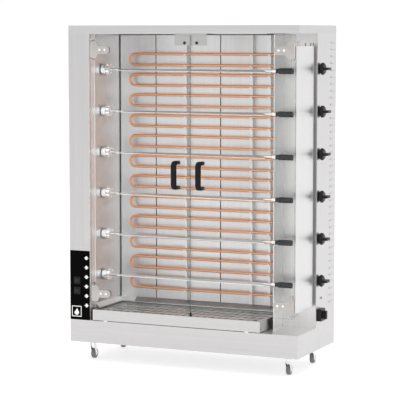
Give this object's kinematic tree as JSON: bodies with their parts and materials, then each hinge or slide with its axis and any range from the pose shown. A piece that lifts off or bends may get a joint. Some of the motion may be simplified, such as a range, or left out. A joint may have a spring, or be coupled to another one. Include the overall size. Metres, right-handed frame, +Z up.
{
  "type": "rotisserie oven",
  "caption": "Free-standing electric rotisserie oven with horizontal spits one above another, hairpin heating elements, glass double doors, drip tray and casters.",
  "frame": {"origin": "on the floor under the middle of the whole object, knobs and door handles included", "axes": "+Z up, -Y towards the person who opens the doors, +X towards the knob side"},
  "size_m": [1.2628, 0.5764, 1.667],
  "materials": {
    "stainless": "fine brushed",
    "black_paint": "semi-gloss",
    "zinc_steel": "zinc plated",
    "element_tube": "copper-toned satin",
    "bearing_iron": "cast",
    "motor_paint": "matt",
    "black_plastic": "satin black",
    "rocker_plastic": "gloss dark grey",
    "lamp_lens": "translucent amber",
    "satin_chrome": "satin",
    "chrome": "polished",
    "door_glass": "clear tempered",
    "wheel_rubber": "matt dark grey"
  },
  "bodies": {
    "cabinet": {"base_plinth": "stainless", "left_column": "stainless", "control_panel": "black_paint", "header": "stainless", "rear_panel": "stainless", "cabinet_screws": "zinc_steel", "back_liner": "stainless", "cavity_liner": "stainless", "right_wall": "stainless", "side_cover": "stainless", "side_guard": "stainless", "heating_elements": "element_tube", "element_supports": "stainless", "drip_deflectors": "stainless", "spindle_bearings": "bearing_iron", "drive_chain": "zinc_steel", "drive_motor": "motor_paint", "hinge_brackets": "zinc_steel", "door_catch": "zinc_steel", "control_bodies": "black_plastic", "pilot_lamp": "lamp_lens", "cord_gland": "black_plastic", "caster_plates": "zinc_steel"},
    "left_door": {"left_door_glass": "door_glass", "left_door_patches": "satin_chrome", "left_door_grip": "black_plastic"},
    "right_door": {"right_door_glass": "door_glass", "right_door_patches": "satin_chrome", "right_door_grip": "black_plastic"},
    "tray": {"drip_tray": "stainless", "tray_grille": "stainless"},
    "spindle_1": {"drive_spindle_1": "chrome"},
    "spit_1": {"spit_1": "chrome"},
    "spindle_2": {"drive_spindle_2": "chrome"},
    "spit_2": {"spit_2": "chrome"},
    "spindle_3": {"drive_spindle_3": "chrome"},
    "spit_3": {"spit_3": "chrome"},
    "spindle_4": {"drive_spindle_4": "chrome"},
    "spit_4": {"spit_4": "chrome"},
    "spindle_5": {"drive_spindle_5": "chrome"},
    "spit_5": {"spit_5": "chrome"},
    "spindle_6": {"drive_spindle_6": "chrome"},
    "spit_6": {"spit_6": "chrome"},
    "knob_1": {"thermostat_knob_1": "black_plastic"},
    "knob_2": {"thermostat_knob_2": "black_plastic"},
    "knob_3": {"thermostat_knob_3": "black_plastic"},
    "knob_4": {"thermostat_knob_4": "black_plastic"},
    "knob_5": {"thermostat_knob_5": "black_plastic"},
    "knob_6": {"thermostat_knob_6": "black_plastic"},
    "main_switch": {"main_switch_knob": "black_plastic"},
    "rocker_1": {"rocker_1": "rocker_plastic"},
    "rocker_2": {"rocker_2": "rocker_plastic"},
    "caster_1": {"caster_fork_1": "chrome"},
    "wheel_1": {"caster_wheel_1": "wheel_rubber"},
    "caster_2": {"caster_fork_2": "chrome"},
    "wheel_2": {"caster_wheel_2": "wheel_rubber"},
    "caster_3": {"caster_fork_3": "chrome"},
    "wheel_3": {"caster_wheel_3": "wheel_rubber"},
    "caster_4": {"caster_fork_4": "chrome"},
    "wheel_4": {"caster_wheel_4": "wheel_rubber"}
  },
  "joints": [
    {"name": "left_door_hinge", "type": "hinge", "parent": "cabinet", "child": "left_door", "pos_m": [-0.5064, -0.22775, 0.94999], "axis": [0, 0, -1], "range_deg": [0, 115]},
    {"name": "right_door_hinge", "type": "hinge", "parent": "cabinet", "child": "right_door", "pos_m": [0.5586, -0.22775, 0.94999], "axis": [0, 0, 1], "range_deg": [0, 115]},
    {"name": "tray_slide", "type": "slide", "parent": "cabinet", "child": "tray", "axis": [0, -1, 0], "range_m": [0, 0.28]},
    {"name": "spindle_1_spin", "type": "hinge", "parent": "cabinet", "child": "spindle_1", "pos_m": [-0.5129, -0.08875, 1.45], "axis": [1, 0, 0], "continuous": true},
    {"name": "spit_1_pull", "type": "slide", "parent": "spindle_1", "child": "spit_1", "axis": [1, 0, 0], "range_m": [0, 0.045]},
    {"name": "spindle_2_spin", "type": "hinge", "parent": "cabinet", "child": "spindle_2", "pos_m": [-0.5129, -0.08875, 1.245], "axis": [1, 0, 0], "continuous": true},
    {"name": "spit_2_pull", "type": "slide", "parent": "spindle_2", "child": "spit_2", "axis": [1, 0, 0], "range_m": [0, 0.045]},
    {"name": "spindle_3_spin", "type": "hinge", "parent": "cabinet", "child": "spindle_3", "pos_m": [-0.5129, -0.08875, 1.04], "axis": [1, 0, 0], "continuous": true},
    {"name": "spit_3_pull", "type": "slide", "parent": "spindle_3", "child": "spit_3", "axis": [1, 0, 0], "range_m": [0, 0.045]},
    {"name": "spindle_4_spin", "type": "hinge", "parent": "cabinet", "child": "spindle_4", "pos_m": [-0.5129, -0.08875, 0.835], "axis": [1, 0, 0], "continuous": true},
    {"name": "spit_4_pull", "type": "slide", "parent": "spindle_4", "child": "spit_4", "axis": [1, 0, 0], "range_m": [0, 0.045]},
    {"name": "spindle_5_spin", "type": "hinge", "parent": "cabinet", "child": "spindle_5", "pos_m": [-0.5129, -0.08875, 0.63], "axis": [1, 0, 0], "continuous": true},
    {"name": "spit_5_pull", "type": "slide", "parent": "spindle_5", "child": "spit_5", "axis": [1, 0, 0], "range_m": [0, 0.045]},
    {"name": "spindle_6_spin", "type": "hinge", "parent": "cabinet", "child": "spindle_6", "pos_m": [-0.5129, -0.08875, 0.425], "axis": [1, 0, 0], "continuous": true},
    {"name": "spit_6_pull", "type": "slide", "parent": "spindle_6", "child": "spit_6", "axis": [1, 0, 0], "range_m": [0, 0.045]},
    {"name": "knob_1_turn", "type": "hinge", "parent": "cabinet", "child": "knob_1", "pos_m": [0.5836, 0.05525, 1.46], "axis": [1, 0, 0], "range_deg": [0, 270]},
    {"name": "knob_2_turn", "type": "hinge", "parent": "cabinet", "child": "knob_2", "pos_m": [0.5836, 0.05525, 1.255], "axis": [1, 0, 0], "range_deg": [0, 270]},
    {"name": "knob_3_turn", "type": "hinge", "parent": "cabinet", "child": "knob_3", "pos_m": [0.5836, 0.05525, 1.05], "axis": [1, 0, 0], "range_deg": [0, 270]},
    {"name": "knob_4_turn", "type": "hinge", "parent": "cabinet", "child": "knob_4", "pos_m": [0.5836, 0.05525, 0.845], "axis": [1, 0, 0], "range_deg": [0, 270]},
    {"name": "knob_5_turn", "type": "hinge", "parent": "cabinet", "child": "knob_5", "pos_m": [0.5836, 0.05525, 0.64], "axis": [1, 0, 0], "range_deg": [0, 270]},
    {"name": "knob_6_turn", "type": "hinge", "parent": "cabinet", "child": "knob_6", "pos_m": [0.5836, 0.05525, 0.435], "axis": [1, 0, 0], "range_deg": [0, 270]},
    {"name": "main_switch_turn", "type": "hinge", "parent": "cabinet", "child": "main_switch", "pos_m": [0.5836, 0.06025, 0.269], "axis": [1, 0, 0], "range_deg": [0, 90]},
    {"name": "rocker_1_tip", "type": "hinge", "parent": "cabinet", "child": "rocker_1", "pos_m": [-0.5904, -0.22475, 0.405], "axis": [-1, 0, 0], "range_deg": [0, 16]},
    {"name": "rocker_2_tip", "type": "hinge", "parent": "cabinet", "child": "rocker_2", "pos_m": [-0.5904, -0.22475, 0.354], "axis": [-1, 0, 0], "range_deg": [0, 16]},
    {"name": "caster_1_swivel", "type": "hinge", "parent": "cabinet", "child": "caster_1", "pos_m": [-0.5494, -0.15075, 0.097], "axis": [0, 0, 1], "continuous": true},
    {"name": "wheel_1_roll", "type": "hinge", "parent": "caster_1", "child": "wheel_1", "pos_m": [-0.5494, -0.12875, 0.025], "axis": [1, 0, 0], "continuous": true},
    {"name": "caster_2_swivel", "type": "hinge", "parent": "cabinet", "child": "caster_2", "pos_m": [0.5016, -0.15075, 0.097], "axis": [0, 0, 1], "continuous": true},
    {"name": "wheel_2_roll", "type": "hinge", "parent": "caster_2", "child": "wheel_2", "pos_m": [0.5016, -0.12875, 0.025], "axis": [1, 0, 0], "continuous": true},
    {"name": "caster_3_swivel", "type": "hinge", "parent": "cabinet", "child": "caster_3", "pos_m": [-0.5494, 0.17225, 0.097], "axis": [0, 0, 1], "continuous": true},
    {"name": "wheel_3_roll", "type": "hinge", "parent": "caster_3", "child": "wheel_3", "pos_m": [-0.5494, 0.19425, 0.025], "axis": [1, 0, 0], "continuous": true},
    {"name": "caster_4_swivel", "type": "hinge", "parent": "cabinet", "child": "caster_4", "pos_m": [0.5016, 0.17225, 0.097], "axis": [0, 0, 1], "continuous": true},
    {"name": "wheel_4_roll", "type": "hinge", "parent": "caster_4", "child": "wheel_4", "pos_m": [0.5016, 0.19425, 0.025], "axis": [1, 0, 0], "continuous": true}
  ],
  "couplings": [
    {"joint": "spindle_2_spin", "follows": "spindle_1_spin", "ratio": 1},
    {"joint": "spindle_3_spin", "follows": "spindle_1_spin", "ratio": 1},
    {"joint": "spindle_4_spin", "follows": "spindle_1_spin", "ratio": 1},
    {"joint": "spindle_5_spin", "follows": "spindle_1_spin", "ratio": 1},
    {"joint": "spindle_6_spin", "follows": "spindle_1_spin", "ratio": 1}
  ]
}
